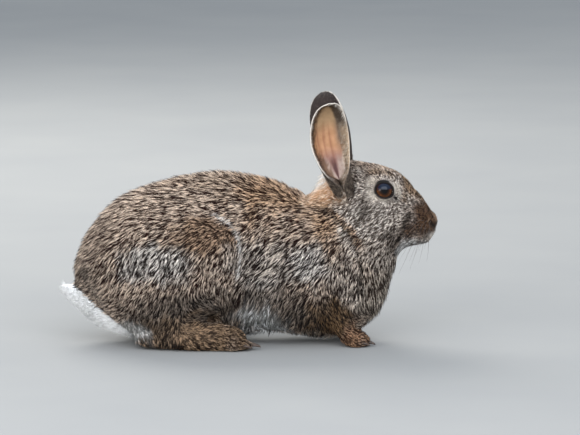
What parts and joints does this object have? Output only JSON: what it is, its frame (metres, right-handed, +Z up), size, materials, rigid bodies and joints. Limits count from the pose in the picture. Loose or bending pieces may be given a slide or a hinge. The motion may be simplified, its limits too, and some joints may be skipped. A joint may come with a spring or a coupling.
{
  "type": "rabbit",
  "caption": "Wild rabbit crouching at rest with raised ears: a still, life-size animal parted into head, ears, eyes, neck, trunk, tail, thighs, forelegs, paws and claws.",
  "frame": {"origin": "on the floor, under the middle of the whole animal's bounding box", "axes": "+X towards the nose, +Y to the animal's left, +Z up"},
  "size_m": [0.321, 0.1258, 0.2154],
  "materials": {
    "coat": "short agouti fur, grey-brown with pale tips, grey on the flank and white below",
    "paw_coat": "short close tan fur",
    "tail_coat": "soft white fluffy fur with a dark upper side",
    "ear_coat": "very short fur over thin skin, tan inside and dark brown behind, with a pale rim",
    "eye": "wet glossy dark brown",
    "horn": "semi-gloss dark horn"
  },
  "bodies": {
    "root": {"head": "coat", "neck": "coat", "trunk": "coat", "thigh_right": "coat", "thigh_left": "coat", "foreleg_right": "coat", "foreleg_left": "coat", "forepaw_right": "paw_coat", "forepaw_left": "paw_coat", "hindpaw_right": "paw_coat", "hindpaw_left": "paw_coat", "tail": "tail_coat", "ear_right": "ear_coat", "ear_left": "ear_coat", "eye_right": "eye", "eye_left": "eye", "claw_fore_right_1": "horn", "claw_fore_right_2": "horn", "claw_fore_right_3": "horn", "claw_fore_right_4": "horn", "claw_fore_left_1": "horn", "claw_fore_left_2": "horn", "claw_fore_left_3": "horn", "claw_fore_left_4": "horn", "claw_hind_right_1": "horn", "claw_hind_right_2": "horn", "claw_hind_right_3": "horn", "claw_hind_right_4": "horn", "claw_hind_left_1": "horn", "claw_hind_left_2": "horn", "claw_hind_left_3": "horn", "claw_hind_left_4": "horn"}
  },
  "joints": []
}
